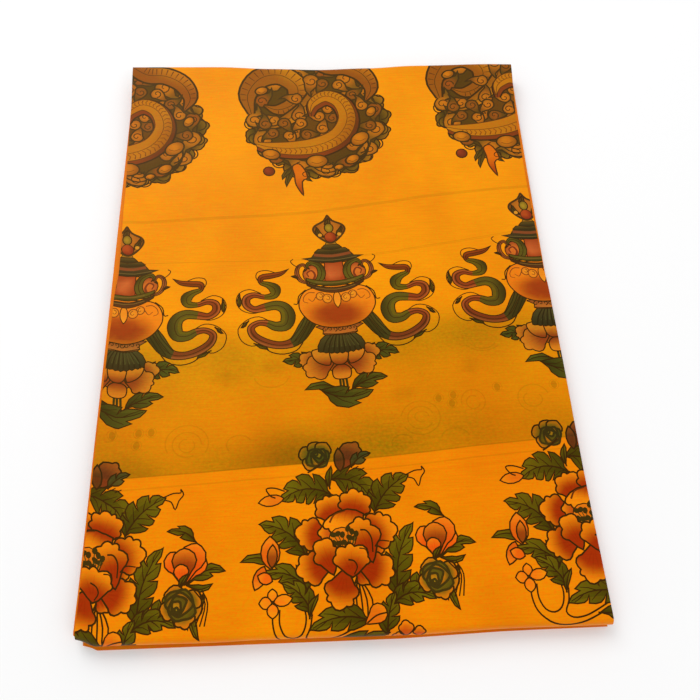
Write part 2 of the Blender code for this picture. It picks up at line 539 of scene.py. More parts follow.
def peony_flower():
    """The open flower: two rings of petals round its stamens."""
    fills = petals(
        """-4 0 -18.5 -2.5 9 3,  3 -8 12.5 -16.5 9 3,  6 -2 19 -1 8 2,  -3.5 8 -7.8 22.4 14.5 5,
        3 8.5 6.6 25 15.5 6,  -6 3.6 -21.8 6.2 14.5 5,  6 1.6 22.4 9.6 17 6,
        -5 -7.6 -21.8 -10.4 14.5 5,  4.5 -8.4 21.2 -12.2 15 5,  0 -9 -4.4 -27.2 14 5"""
    )
    fills += petals("-2 4.4 -12.6 5.8 6.6 3", (196, 92, 14), streaks=0)
    arch = rows("-9.4 8.8, -7 6.6, -3.4 5.4, -0.6 6.4, 3 7.6, 8.6 11.6")
    over = rows("8.8 13.2, 5.4 15, 1.6 15.6, -2.6 14.6, -6.4 12.6, -8.8 10.2")
    fills += outlined([*scallops(arch, 0.3), *over], (164, 50, 4), PETAL, (0, 15.5), (-2.0, 8.4))
    for x in (-5.6, -2.6, 0.6, 3.8):
        vein = [(0.55 * x + 1.6, 14.8), (0.9 * x, 12.6), (x - 0.6, 9.6)]
        fills.append(stroke(vein, 1.0, 0.2, SHADE, 2, True))
    fills += lines("0.9 0.3, -6.2 9.6, -4 13, 0.6 14.4", (104, 46, 10))
    fills += petals("11.4 -8 4.6 13.4 13.5 5", dark=0.3)
    # The heart of the flower with its stamens
    fills += outlined(disc((-1.0, 2.6), 6.0, 0.86, steps=12), (224, 124, 16), (236, 138, 18),
                      (-1, 2.6), (1, 6), True, 0.5)
    heads = """-4.8 4.4, -3 4.8, -1 4.4, -4.6 1, -2.6 0.8, -0.6 1.2, 1.4 6.8, 3 5.6, 1.8 3.2,
        3.8 2.8, 1.2 0.4, 4.8 4.6"""
    for k, (x, y) in enumerate(rows(heads)):
        fills.append(stroke([(x, y), (0.3 * x + 0.8, -2.6)], 0.5, 0.45, (92, 78, 18)))
        fills.append(flat(disc((x, y), 1.45, 0.8, 40 * k, 8), (52, 46, 10)))
    fills += petals("-5 -12.6 -10.8 4.6 11 4", dark=0.3) + petals("2.6 -13.6 2.2 1.6 17 5", dark=0.26)
    # Curled edges inside the petals
    return fills + lines(
        """0.75 0.6, 6.6 6.2, 9.2 5.8, 11.2 2.4, 11.4 -3.2;  0.6 0.4, 5.8 -1.4, 8.4 -2, 9.4 -5;
        0.75 0.5, 1 -6, 3.4 -6.6, 4.6 -9, 3.2 -12;  0.6 0.5, 12.4 -1, 14.6 1.4, 18.6 1"""
    )


def peony_spray():
    """A large peony with leaves, pods, buds and a green rose on each side."""
    fills = []
    # Stems under the flower, and the curved stalks at the left foot
    for foot_x, bend in rows("3.2 -1.5, 4.6 -1, 6.2 -0.5, 7.8 0, 9.2 0.8"):
        fills.append(stroke([(4.5, -12), (foot_x + bend, -22), (foot_x, -31)], 0.75, 0.65))
    fills += lines(
        """0.7 0.7, -30 -25, -30.2 -30, -28.6 -35.5, -24.1 -39.6, -18 -41.2, -11.3 -40.4,
        -4.4 -37.9, 2.6 -34.4;
        0.7 0.7, -27.4 -25, -27.4 -30.5, -25.3 -34.9, -21.8 -36.2, -18.6 -34.4, -17 -30.5,
        -17.2 -26, -20 -21.5;
        0.7 0.7, -14.4 -27, -15.2 -32, -17 -36.2, -14.4 -38.4, -9.5 -38, -4.5 -36, 2.6 -32.4"""
    )
    fills += leaves(
        """-4.5 21.5 -27.5 18.5 -4.4 12 4,  -6 28.5 13 15 5.4 11.5 4,  13 13 29.5 29.5 2.6 12 4,
        -5.5 24 -4.6 35 0.6 4.5 1,  -16 -5 -36.5 9.5 -4.2 12 4,  -27 -8.5 -44 -6 -3 6.5 1,
        -14 -21 -36 -11.5 -5 8.5 3,  -14.5 -27 -27 -14.5 -2.2 8.5 3,  -15.5 -29 -11.5 -19 0.8 4.5 1,
        10 -30.5 -16 -33.5 -3.6 9.5 3,  -4 -37 17 -34.5 -1.2 6 2,  21 -22 29.6 9 3.4 10.5 4,
        20 -22 35 -7.5 -3 8.5 3,  17.5 -25 36.5 -23 4.2 8.5 3,  15.5 -36 20 -19 1.2 8 3,
        43 10 30 15 -2.4 5 2,  39.5 -7 55.5 -1.6 3.2 6.5 2,  38.5 -5.6 50.5 -6 -2.6 4.8 1,
        44.5 -10 45.8 -28 -3.2 5 2,  41.5 -22 46.6 -9 -1.2 4 1"""
    )
    # The curled end of the top right leaf and the pale bud beyond the top left one
    fills += lines(
        """0.6 0.6, 28 29.5, 32 31.2, 35.2 31.4, 35 33, 36.4 30.6, 34.6 28, 33.2 24.2, 31.4 27.4,
        28.6 28.4"""
    )
    fills += petals("-25 20.5 -36.5 18.6 5.4 1", (232, 126, 14), streaks=0, line=0.6)
    fills += lines("0.65 0.65, -25 23.5, -29.5 25, -33 24.6, -31.2 21.6, -29 20.6")
    # Pods on the left, then the bud on the right, wrapped in pale outer petals. Columns: base
    # x, base y, tip x, tip y, width, first and second reds
    pods = """-31 -9.5 -31.4 4.6 8.6 226 244,  -30.6 -9 -30.2 1.2 4.8 150 226,
        -33.5 -7.4 -37.6 -17.4 5.6 222 242,  -30 -14 -36.6 -11.4 5.4 236 244"""
    bud = """39 -6.8 46.4 7.4 6.4 240 248,  38.6 -7 43.4 12.6 9 226 246,  37.6 -6.5 32.4 9.4 7 234 246,
        38.2 -7 38.4 10.4 9 148 238,  37.6 -7.6 37.4 3.6 6 232 246"""
    for table, lobes, green, blue, streaks in ((pods, 1, 0.46, 12, 0), (bud, 2, 0.40, 10, 3)):
        for bx, by, tx, ty, width, red, rim in rows(table):
            fills += petal((bx, by), (tx, ty), width, lobes, (red, red * green, blue),
                           (rim, rim * 0.58, 20), streaks, 0.65)
    fills += leaves("36.4 -8.4 40.2 -1.6 0.4 3.8 1")
    # Two roses of leaves
    fills += rose((-10.4, 38.2), 6.8, 10, "160 1.45 2, 215 1.2 2, 110 1.3 2, 60 1.25 1")
    fills += lines("0.8 0.8, -15 31.6, -11 34, -7.4 37")
    fills += rose((37.6, -14.2), 8.4, 130, "-20 1.2 2, -70 1.15 3, 25 1.15 2, 200 1.1 2, 120 1.1 2")
    for k in range(3):
        tail = [(42.6 + 1.6 * k, -8.6), (46.4 + 1.0 * k, -14.0), (43.8 + 1.8 * k, -22.5)]
        fills.append(stroke(tail, 0.6))
    # The reddish bud at the top, between its leaves
    fills += petals("0.4 32.6 7.4 46.6 10 3", (124, 56, 22), (196, 104, 24))
    fills += petals("-0.6 31.4 -1.4 43 5.2 1", (96, 52, 18), (160, 86, 22), 2)
    fills += leaves("4 33.4 13.4 40 1.4 5.4 2", (66, 68, 26), (92, 92, 34))
    for k in range(3):
        fills.append(stroke([(2.4 + 2.4 * k, 33.6 - 0.8 * k), (4.8 + 2.6 * k, 34.8 - 0.8 * k)], 0.5))
    # The small flower of four lobes, and round buds at the foot
    fills += petals(
        """-30.2 -22.2 -30.4 -16.6 4.6 1, -30.2 -22.2 -36 -22.4 5.4 1,
        -30.2 -22.2 -30.2 -28.6 5.2 1, -30.2 -22.2 -22 -20.6 5.2 1""",
        (240, 134, 14), streaks=0, line=0.6
    )
    for x, y, size in rows("23 -33.5 3.6, 28.2 -35 3, 19.6 -37 2.8"):
        fills += petal((x, y - size), (x, y + size), size * 1.9, 3, (206, 92, 12), streaks=0, line=0.6)
    fills += petals("6.4 -31.5 17 -24.6 7.6 2", (230, 124, 14), streaks=0, line=0.6)
    return fills + lines("0.65 0.65, 7.5 -31, 11.4 -28.2, 15.6 -27.2") + peony_flower()


def side_ribbon():
    """The fluttering ribbon on the vase's right, one long run with thin curls beside it."""
    fills = lines(
        """0.5 0.5, 29.5 20.6, 34 22.4, 38.4 21.6, 39.4 18.4, 37.4 14.6;
        0.5 0.5, 37 8.8, 42.6 11.4, 47.6 9.4, 49.2 4.4, 46.8 -0.4, 41.6 -2.6, 37 -1.6;
        0.5 0.5, 33.5 -7.4, 38.6 -4.6, 44.4 -6.2, 48.8 -11.2, 47.4 -17.6, 42.8 -20.8, 38.4 -19.8;
        0.6 0.6, 37.8 -20.8, 33.4 -24.8, 27.6 -26.2, 21.6 -24.6, 18.4 -20.6"""
    )
    fills += leaves(
        """47.6 9.6 48.2 0.6 -0.5 3.4 1, 43.4 -6.4 47.8 -10.6 -0.5 3 1,
        41.8 -19.4 34.6 -23.6 -0.5 3.6 1""", (78, 84, 12), (112, 106, 12)
    )
    run = rows(
        """22.6 22.8, 27 20, 32 19, 36.6 18.2, 36.8 15.2, 33.2 13.6, 30.2 11, 30.8 7.4,
        35.4 6.6, 40.2 8, 44 6.4, 44.2 2.4, 40.6 -0.4, 35.4 0.6, 30 1.4, 26 -0.6,
        24.4 -5, 26 -10, 30.6 -10.6, 34.6 -8.6, 39 -8.2, 42.6 -10.8, 41.2 -15.4,
        36 -19.2, 29.6 -21.2, 23.6 -20.4, 19.6 -17, 16.4 -12, 13.4 -7.6"""
    )
    halves = [0.1, 1.4, 1.8, 1.8, 1.4, 2.0, 3.0, 2.3, 1.5, 1.7, 2.1, 2.2, 2.0, 2.4, 2.8, 3.3,
              3.7, 3.4, 2.7, 2.0, 1.7, 1.9, 2.2, 2.3, 2.2, 2.6, 3.4, 3.8, 3.8]
    edge = (168, 90, 36)
    fills += band(run, halves, [
        (25, 28, GREEN, (74, 74, 24), None), (19, 25, MAROON, MAROON_LIGHT, edge),
        (8, 13, MAROON, MAROON_LIGHT, edge), (13, 19, GREEN_LIGHT, GREEN, (104, 98, 16)),
        (4, 8, (100, 96, 12), GREEN, None), (0, 4, (148, 66, 14), (110, 46, 12), None),
    ])
    for k in range(4):
        x = 19.6 - 1.7 * k
        crease = [(x - 3.2, -6.5), (x - 0.6, -12.0), (x + 4.4, -18.6 - k)]
        fills.append(stroke(crease, 0.5, 0.4, (34, 36, 10)))
    return fills


def vase_lotus():
    """The open lotus under the vase, with its stem and leaves."""
    fills = []
    for x in (-0.2, 1.4, 3.2):
        fills.append(stroke([(x * 0.8, -40), (x, -50)], 1.2, 1.0, GREEN))
    fills += leaves(
        """4.5 -48.6 22.4 -43.4 1.8 7.5 2,  1.5 -49.4 -17.4 -47.4 -3.4 7 1,
        -10.5 -47 15 -49.6 -4 10 2,  -10.5 -34 -26.6 -31.6 -1.8 8 3,
        12 -31.6 29.4 -31.4 2.4 8.5 3""", (54, 62, 14), (92, 100, 24)
    )
    fills += outlined(disc((0.8, -34.6), 7.6, 0.6, 0, 12), (142, 52, 14), (206, 108, 22),
                      (0.8, -34), (1, 8), True, 0.6)
    # Wavy petals at the sides
    fills += petals(
        """-9 -33 -19.4 -30.2 10 4,  10 -31.5 20.4 -27 10 4,  -1.5 -32.5 -17.8 -38.4 13 4,
        3.4 -32.5 18.8 -36.6 13.5 5""", (162, 72, 20), (236, 147, 28), 3, 0.6, 0.24
    )
    # Tongue petals in front, and the round one below them
    for shape, top in (
        ("-12 -26, -12.2 -30.2, -9.6 -33.6, -5.2 -35.2, -3.4 -33.6, -3.5 -26", -28),
        ("4.5 -26, 4.5 -33.4, 6.2 -35, 10.6 -33, 13 -29, 12.4 -25", -28),
        ("-3.6 -26, -3.8 -32, -2 -34.6, 0.5 -35.2, 3 -34.6, 4.8 -32, 4.7 -26", -28),
        ("-3.6 -37.4, -1.4 -35, 0.9 -34.6, 3.4 -35, 5.6 -37.4, 5.4 -41.2, 3.4 -42.8, -1.4 -42.8,"
         "-3.4 -41.2", -42),
    ):
        fills += outlined(through(rows(shape), 3, True), (240, 150, 28), (152, 60, 18),
                          (0, top), (0, -35), line=0.6)
    return fills


def vase_body():
    """The vase itself: skirt, collar, belly, neck with handles, sash, lid and jewel."""
    # Pleated skirt
    pleats, half = 9, 11.8
    hem = []
    for k in range(pleats):
        left, right = 2 * half * k / pleats - half, 2 * half * (k + 1) / pleats - half
        drop = -26.0 - 1.6 * (1 - ((k + 0.5) / pleats * 2 - 1) ** 2)
        hem += [(left + 0.2, drop + 0.3), ((left + right) / 2, drop - 0.3)]
    top = rows("-11.6 -23, -10 -19.4, -7.2 -16.6, 7.2 -16.6, 10 -19.4, 11.6 -23")
    fills = outlined(np.vstack([top, hem[::-1]]), (74, 74, 32), (44, 46, 20), (0, -17), (0, -27), line=0.5)
    for k in range(1, pleats):
        foot = 2 * half * k / pleats - half
        crease = [(foot * 0.5, -17.2), (foot * 0.82, -21.5), (foot, -26.6)]
        fills.append(stroke(crease, 0.5, 0.8, (30, 32, 12)))
        crease = [(foot * 0.46 + 0.5, -18.0), (foot * 0.8 + 0.9, -24.0)]
        fills.append(stroke(crease, 0.4, 0.6, (78, 82, 34)))
    # Scroll collar under the belly
    collar = rows("-11 -11.6, 11 -11.6, 8.4 -14.4, 7.4 -17.2, -7.4 -17.2, -8.4 -14.4")
    fills += outlined(through(collar, 3, True), (150, 86, 34), (206, 124, 40), (0, -12), (0, -17), line=0.5)
    for k in range(-3, 4):
        fills.append(curl((k * 2.4, -14.0), 1.3, 1.0, 0.5, 90 * k, way=1 if k % 2 else -1))
    fills += lines("0.5 0.5, -8.2 -16.2, 0 -16.9, 8.2 -16.2")
    # Belly: deep rust low down, orange above, with hanging ornaments and scrolls
    belly = through(rows(
        """0 -13.4, 8 -12.4, 14.6 -8.6, 18.8 -2, 18.4 4.6, 14.6 9.6, 6 11.6, -6 11.6,
        -14.6 9.6, -18.4 4.6, -18.8 -2, -14.6 -8.6, -8 -12.4"""
    ), 4, True)
    fills += outlined(belly, (158, 62, 12), (238, 142, 18), (-0.5, -5.6), (7.0, 19.5), 0.56, line=0.6)
    rim, brown = (112, 58, 18), (120, 66, 22)
    for side in (-1, 1):
        for path, width, end_width, colour in (
            ("15 9.6, 18.6 6, 19.4 1.6, 21.4 1.6", 0.6, 0.6, INK),
            ("10.6 7.6, 13.6 7.8, 16 5.6, 16.4 2.8, 14.2 1.8", 0.5, 0.3, brown),
            ("10.2 5.2, 12 2.6, 14 4.2", 0.45, 0.3, brown),
        ):
            fills.append(stroke(rows(path) * (side, 1), width, end_width, colour))
        for x, y, size in ((8.0, 5.4, 2.3), (4.6, 3.8, 2.6)):
            spot = (side * x, y)
            fills += outlined(disc(spot, size, 1.1, 0, 12), (240, 160, 30), (222, 138, 24),
                              spot, (0.5, size), True, 0.45, rim)
            fills.append(curl(spot, size * 0.6, 0.8, 0.4, 90, rim, side))
    fills += petals("0.2 8.6 0.2 -2 4.2 1", (236, 150, 28), (242, 166, 36), 0, 0.45)
    # Neck and its scroll handles
    fills += outlined(rows("-13 12, 13 12, 10 25.5, -10 25.5"), (196, 96, 24), (232, 136, 16),
                      (0, 13), (0, 26), line=0.5)
    fills += outlined(rows("-5.4 12, 5.6 12, 4.8 26, -4.8 26"), (212, 116, 52), (158, 66, 22),
                      (-0.6, 19.5), (0.6, 6.4), True, 0.5)
    handle = outlined(disc((10.6, 18.8), 5.6, 1.05), (214, 122, 36), (160, 78, 30),
                      (11, 18.6), (1, 5.6), True, 0.5)
    for path, halves, first, second in (
        ("13.6 13.4, 17.2 15.4, 18.9 19.4, 18 23.4, 15.4 24.8, 14 22.4, 15.4 20.4",
         [0.8, 1.2, 1.3, 1.1, 1.0, 0.8, 0.3], (150, 84, 36), (104, 52, 26)),
        ("13 12.6, 8.4 14.6, 6.4 19, 7.6 23.8, 11.6 25.8, 13.6 23.6, 12.2 21.8",
         [1.0, 1.9, 2.2, 1.9, 1.4, 0.9, 0.3], GREEN, GREEN_LIGHT),
    ):
        handle += band(rows(path), halves, [(0, 6, first, second, None)], line=0.45)
    handle += lines("1.3 0.6, 11 14.8, 9.8 18.2, 11.4 21, 13.8 19.6, 13 17.2", (120, 50, 22))
    handle += lines("0.5 0.5, 18.2 23.4, 20.4 25, 21.6 27.2, 20.2 28.4")
    handle += leaves("18.4 15.8 22.2 18.2 0.6 2.6 1", (86, 60, 26), (112, 92, 28))
    fills += handle + moved(handle, (0, 0), mirror=True)
    # The sash, and the dark band under it
    for top, sag, thick, first, second in (
        (12.0, 5.2, 3.6, (62, 40, 18), (88, 50, 22)), (14.8, 4.0, 3.4, GREEN_LIGHT, GREEN),
    ):
        across = np.linspace(-14.8, 14.8, 13)
        low = top - sag * (1 - (across / 14.8) ** 2)
        upper = np.stack([across, low + thick * (1 - 0.35 * (across / 14.8) ** 2)], -1)
        lower = np.stack([across * 0.97, low], -1)
        fills += outlined(np.vstack([upper, lower[::-1]]), first, second,
                          (0, top - sag + thick), (0, top - sag), line=0.45)
        fills.append(stroke(upper[2:-2:2] - (0, 1.4), 0.45, colour=(118, 96, 40), steps=1))
    # Lid: the wide brim with upturned ends and three tiers
    brim = rows("-16.2 28.6, -11 29.2, -8.6 32.6, 8.6 32.6, 11 29.2, 16.2 28.6, 9 25.8, 0 25, -9 25.8")
    fills += outlined(brim, (72, 62, 30), (38, 40, 20), (0, 32), (0, 25.5), line=0.45)
    fills += lines("1.6 1.6, -9.4 30.6, 0 29.4, 9.4 30.6", (132, 72, 34))
    fills += lines("0.5 0.5, -12.4 28, 0 26.8, 12.4 28", (100, 92, 44))
    for low, high, wide, narrow in ((31.4, 34.4, 9.4, 7.0), (33.8, 36.8, 5.6, 3.6)):
        tier = [(-wide, low + 0.8), (-wide + 1.4, low), (0, low - 0.8), (wide - 1.4, low),
                (wide, low + 0.8), (narrow, high), (-narrow, high)]
        fills += outlined(tier, (88, 76, 26), (42, 42, 18), (0, high), (0, low), line=0.45)
    fills += outlined(rows("-3.4 36.4, 3.4 36.4, 2.2 39, -2.2 39"), (176, 134, 30), (110, 84, 20),
                      (0, 38), (0, 36), line=0.4)
    # The jewel: a pointed bud with a red ball in front
    jewel = rows(
        """0 56.4, 2.6 52.6, 7.4 49.6, 8.8 46, 6.4 41.6, 1.8 37.6, -1.8 37.6, -6.4 41.6, -8.8 46,
        -7.4 49.6, -2.6 52.6"""
    )
    fills += outlined(through(jewel, 3, True), (192, 120, 24), (150, 92, 22), (0, 47), (1, 9), True,
                      1.2, (70, 48, 16))
    for side in (-1, 1):
        fills += leaf((side * 2.2, 41.0), (side * 6.6, 49.0), -side * 1.2, 4.2, 1, (96, 84, 20), (70, 60, 18))
        fills.append(flat(disc((side * 5.0, 43.0), 1.1, 1.0, 0, 8), (214, 158, 40)))
    fills += leaves("0 46 0.2 54.4 0.2 5 1", (70, 56, 16), (96, 74, 18))
    fills += outlined(disc((0, 47.4), 2.6, 1.3, 0, 12), (166, 146, 34), (112, 98, 20),
                      (0, 47.4), (0.4, 3.2), True, 0.6)
    return fills + outlined(disc((0.2, 41.4), 3.3, 1.05, 0, 14), (188, 84, 26), (136, 44, 18),
                            (-0.6, 42.4), (0.4, 3.6), True, 0.4)


def treasure_vase():
    """A treasure vase with a jewel on its lid, on a lotus, between fluttering ribbons."""
    ribbon = side_ribbon()
    lotus = moved(vase_lotus(), (-2.2, 1.2))
    fills = ribbon + moved(ribbon, (0, 0), mirror=True) + lotus + vase_body()
    # The drawing is a little too high for its width
    return moved(fills, (0.3, 1.12), squeeze=0.96)


def cloud(centre, size, turn, first, second):
    """A scroll of cloud: a round head with a curl and a trailing tail."""
    points = rows(
        """-0.2 0.75, -1.2 0.6, -2.1 -0.15, -1.3 -0.05, -0.7 -0.55, 0.2 -0.85, 0.85 -0.3,
        0.8 0.5, 0.25 0.9"""
    )
    fills = outlined(through(points * size, 2, True), first, second, (0, 0),
                     (0.1 * size, 1.3 * size), True, 0.9, (60, 46, 14))
    fills.append(curl((0.05 * size, 0), 0.55 * size, 1.0, 0.75, 120, colour=(66, 50, 16)))
    return moved(fills, centre, turn)


def coil_roundel():
    """A round of cloud scrolls and leaves about one coiled, scaly body."""
    fills = []
    dark = (54, 42, 12)
    for k in range(22):
        angle = 360 / 22 * k
        out = direction(angle)
        side = np.array([-out[1], out[0]])
        shades = ((74, 62, 12), (158, 114, 18)) if k % 2 else ((60, 54, 12), (126, 100, 16))
        fills += petal(out * 26 - side * 3, out * (43.0 - 1.8 * (k % 3)) + side * 2, 12.5, 3, *shades, 0, 0.8)
        fills.append(ring(out * 36.5 + side, 3.6, 0.8, dark, low=angle - 100, high=angle + 100))
    fills += outlined(disc((0, 0), 35.5, steps=30), (98, 68, 10), (76, 60, 10), (0, 0), (8, 34), True,
                      ink=dark)
    for k in range(15):
        angle = 24 * k + 9
        shades = ((196, 122, 16), (120, 88, 16)) if k % 3 else ((156, 84, 16), (92, 72, 14))
        place = direction(angle) * (33.4 + 1.4 * (k % 2))
        fills += cloud(place, 5.4 + 0.5 * (k % 3), angle + 80, *shades)
    # Loops of the body above, which the far fold cuts
    for path, halves, first, second in (
        ("-36 6, -37.5 19, -30 30.5, -18.5 32.5, -9.5 24.5, -11.5 13, -21 8.5, -29 12",
         [2.4, 5.6, 7.0, 7.2, 6.8, 5.8, 4.2, 1.0], (194, 132, 12), (150, 92, 12)),
        ("0 44, 9 37.5, 19 36, 28 30, 32 20, 28 11",
         [5.0, 6.2, 6.2, 6.0, 4.6, 1.2], (188, 122, 14), (144, 84, 14)),
        ("1 24, -5.5 11, -17 1, -33 -5", [2.6, 4.6, 4.4, 1.4], (196, 132, 12), (150, 96, 12)),
    ):
        path = rows(path)
        fills += band(path, halves, [(0, len(path) - 1, first, second, None)], line=1.2, ink=(56, 40, 10))
        middle = through(path, 4)
        side = sideways(middle)
        for k in range(3, len(middle) - 4):
            half = np.interp(k / 4, np.arange(len(halves)), halves) - 1.2
            reach = [middle[k] + side[k] * half * share for share in (0.15, 0.9)]
            fills.append(stroke(reach, 0.3, 0.6, (84, 48, 14), 1))
    for k in range(1, 12):
        angle = 137.5 * k + 20
        place = direction(angle) * (9.0 + 1.7 * k)
        fills += cloud(place, 4.8 + 0.5 * (k % 3), angle * 1.7, (192, 120, 16), (118, 78, 16))
    small = """-25 -8, -15.5 -10, -6 -9, 2.5 -5, 8.5 1.5, -9 -1.5, -18 -1, 7 8.5, -29 -1, 1 3,
        5 25.5, 14 24, 21 16.5, 25.5 8.5, 29 -6"""
    for k, place in enumerate(rows(small)):
        shades = ((200, 126, 16), (128, 84, 16)) if k % 2 else ((150, 88, 16), (88, 70, 14))
        fills += cloud(place, 4.6, 40 + 75 * k, *shades)
    # Waves of dark lines along the lower right rim
    for k in range(4):
        fills.append(ring((20 - 3 * k, -18), 7 + 3.0 * k, 0.9, dark, low=-75, high=35))
        fills.append(ring((3, -27), 4 + 2.6 * k, 0.8, dark, low=-145, high=-35))
    # The coiled body: a long bow below that turns up on the right and back into the middle
    body = rows(
        """-34 -15, -26 -17.5, -14 -18.5, 0 -16.5, 11.5 -10.5, 17 0.5, 14 12, 6 17, -1.5 12.5,
        -3.5 5"""
    )
    halves = [2.4, 4.3, 5.6, 6.2, 6.2, 5.8, 5.2, 4.6, 3.6, 1.0]
    fills += band(body + (0.6, -1.6), [h + 1.0 for h in halves],
                  [(0, 9, (130, 60, 14), (100, 50, 14), None)], line=1.0, ink=(50, 32, 10))
    fills += band(body, [h - 0.6 for h in halves], [(0, 9, (190, 128, 10), (162, 102, 10), None)],
                  line=0.6, ink=(92, 56, 14))
    outer = through(body, 5)
    side = sideways(outer)
    for k in range(5, len(outer) - 6):
        half = np.interp(k / 5, np.arange(len(halves)), halves) - 1.4
        path = [outer[k] + side[k] * half * reach for reach in (-0.1, -0.5, -0.95)]
        path[1] = path[1] + (outer[k + 1] - outer[k - 1]) * 0.2
        fills.append(stroke(path, 0.4, 0.6, (122, 70, 14), 1))
    # Round gold fruits between the clouds
    for x, y, size, turn in rows(
        """-27 -22.4 5.4 -12, -2.4 -28 6.4 4, 17 -28.4 4.6 30, 22.6 -14.6 6.2 38, 30.6 3.6 4.2 60,
        -29.5 22 4.2 20, 9 -33 3.2 10"""
    ):
        fills += outlined(disc((x, y), size, 0.74, turn), (206, 132, 14), (146, 90, 14),
                          (x - 0.6, y + 0.8), (0.5, size), True, 0.9, dark)
        crease = [(x - size * 0.5, y - 0.5), (x, y - 1.6), (x + size * 0.5, y - 0.3)]
        fills.append(stroke(crease, 0.4, 0.3, (110, 70, 14)))
    # The red ball, and the flame that hangs below between dark leaves
    fills += outlined(disc((-29, -34), 3.4, 1.0, 0, 12), (148, 58, 24), (104, 40, 16),
                      (-29.8, -33), (0.5, 3.4), True, 0.6)
    fills += leaves(
        "-14 -30 -20.5 -45.5 -1.4 5 1, -14 -30 -22.5 -40.5 -1.4 5 1, -14 -30 -6 -42 -1.4 5 1",
        (70, 62, 14), (104, 88, 16), dark
    )
    flame = rows("-16.6 -31, -12.4 -29, -9.2 -34, -8.4 -39.5, -11.4 -42, -11.6 -51.5, -15.6 -44, -16 -37")
    fills += outlined(through(flame, 3, True), (160, 58, 4), (218, 118, 2), (-12, -50), (-12, -36),
                      line=0.8, ink=(74, 44, 10))
    fills.append(curl((-9.6, -37), 2.4, 1.2, 0.6))
    return fills


# Where the motifs stand, and what shows through from the layer below

# How far the upper rows are turned, in degrees: the strip lies a little askew
PRINT_TURN = 3.3
# Where the motifs of each row stand, from left to right. Columns: x, y
PEONIES_AT = rows("-104.6 -125.4, 0.0 -118.0, 105.6 -112.2")
VASES_AT = rows("-102.2 -11.4, 0.8 -3.0, 105.7 6.8")
ROUNDELS_AT = rows("-106.0 108.4, -5.0 116.0, 101.0 124.8")
# The same three rows on the underside of the stack, where the strip is seen from below
UNDER_SHIFT = LEGS[-1].low + PASS_LENGTH / 2

# The hem of the layer below, seen through the top one: its height at x = 0 and its slope
HEM_Y, HEM_SLOPE = -81.2, 0.065
HEM_WIDTH = 5.2


def show_through(x, y):
    """How strongly the darker layer below tints the top one, from 0 to 1."""
    above = y - (HEM_Y + HEM_SLOPE * x)
    # Strongest at the hem, weaker 27 mm above it, darker again in a band 55 mm above it
    strength = 0.78 - 0.46 * smooth(above / 27) + 0.26 * np.exp(-((above - 55) ** 2 / 110))
    strength = strength * (1 - smooth((above - 60) / 18))
    patches = (0.86 + 0.16 * np.sin(x / 21 + 1.5 * np.sin(y / 17)) + 0.10 * np.sin(y / 7 - x / 26)
               + 0.08 * np.sin(x / 6.5 + y / 9))
    return np.clip(smooth((above + 0.5) / 1.0) * strength * patches, 0, 1)


def ghost_marks():
    """Faint marks of the print, hem and creases below that show through the top layer."""
    faint, deeper = (0.86, 0.89, 0.9), (0.74, 0.80, 0.86)
    hem = [(x, HEM_Y + HEM_SLOPE * x) for x in (-130, -60, 0, 60, 130)]
    fills = [
        stroke([(x, y - HEM_WIDTH) for x, y in hem], 0.7, colour=faint, tint=True),
        stroke([(x, y - HEM_WIDTH - 3.4) for x, y in hem], 1.6, colour=(0.98, 0.95, 0.9), tint=True),
        stroke(hem, 0.6, colour=deeper, tint=True),
    ]
    # Columns: x, y, radius, height over width, where the arc starts and ends
    for x, y, radius, squash, low, high in rows(
        """37 -62.5 9 0.9 -150 170,  37 -62.5 6 0.9 20 330,  37.5 -62 3.2 0.8 0 300,
        62 -56 5.6 1 -60 200,  62 -56.5 3.2 1 60 340,  90.5 -55.5 7.5 0.9 20 250,
        90 -56 4.4 0.8 120 400,  -68 -72 9.5 0.9 -30 210,  -68 -72.5 6.4 0.9 0 300,
        -68 -73 3.4 0.9 90 400,  -104 -67 4.6 1 -90 120,  70 -25 6.5 0.7 200 340,
        70 -24 9.5 0.7 210 320,  -31 -40 8 0.7 190 350,  28 -74 5 0.8 20 200,
        52 -73 6.4 0.7 10 170,  -45 -73 5.6 0.8 30 220,  -70 -30 8 0.6 190 330"""
    ):
        fills.append(ring((x, y), radius, 0.6, faint, squash, low, high, True))
    for x, y in rows(
        """46 -53.8, 53 -52.5, 52 -56.6, -89.5 -67, -84 -66.6, -101 -68, -90 -72.6, 74 -49.5,
        101 -49"""
    ):
        fills.append(flat(disc((x, y), 1.5, 1.35, 0, 8), deeper, True))
        fills.append(ring((x, y), 2.3, 0.35, faint, tint=True))
    # Two dark patches stand on the hem
    for x, size, squash, shade in ((-23, 35, 0.7, (0.68, 0.62, 0.8)), (-92, 26, 0.6, (0.80, 0.84, 0.9))):
        middle = (x, HEM_Y + HEM_SLOPE * x)
        patch = disc(middle, size, squash, steps=24)
        patch[:, 1] = np.maximum(patch[:, 1], HEM_Y + HEM_SLOPE * patch[:, 0])
        fills.append(graded(patch, shade, (1, 1, 1), middle, (3, size - 1), squash, True))
    for x, y, turn in rows("-52 -41 10, -31 -35 -20, 30 -50 15, 62 -38 -12"):
        spot = disc((x, y), 8.5, 0.62, turn)
        fills.append(graded(spot, (0.84, 0.86, 0.9), (1, 1, 1), (x, y), (2.0, 7.5), 0.66, True))
    for path, width in (
        ("-112 45.6, -62 48.8, -20 52.5, 20 57.6, 60 62.0, 112 66.4", 1.8),
        ("-112 21.6, -60 22.4, -16 24.0, 20 26.8, 60 31.6, 112 39.6", 0.55),
        ("10 25.0, 40 28.2, 70 32.2, 112 38.6", 0.4),
    ):
        fills.append(stroke(rows(path), width, colour=faint, tint=True))
    return fills


